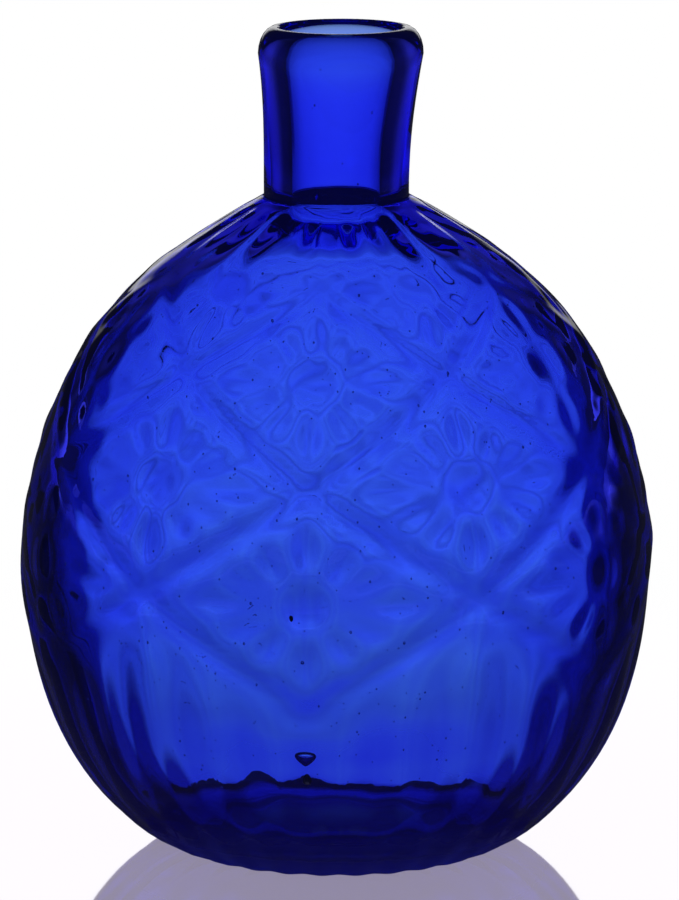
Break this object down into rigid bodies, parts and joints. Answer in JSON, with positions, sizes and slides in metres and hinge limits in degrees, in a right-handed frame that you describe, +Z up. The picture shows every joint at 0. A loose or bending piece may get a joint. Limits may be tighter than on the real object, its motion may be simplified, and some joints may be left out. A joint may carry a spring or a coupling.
{
  "type": "bud vase",
  "caption": "Pattern-moulded blown glass bud vase: a globular body with a net of diamonds and daisies over flutes, a short narrow neck and a rolled lip.",
  "frame": {"origin": "centre of the flat ring that the vase stands on, on the floor plane", "axes": "+Z up along the neck, +X to the right and -Y to the front as in the picture; the body is a little wider along X than along Y"},
  "size_m": [0.1, 0.0916, 0.13],
  "materials": {
    "cobalt_glass": "clear cobalt blue glass, fire-polished, with fine seed bubbles",
    "pontil_glass": "the same cobalt glass, broken off rough and left unpolished"
  },
  "bodies": {
    "root": {"blown_vessel": "cobalt_glass", "pontil_scar": "pontil_glass"}
  },
  "joints": []
}
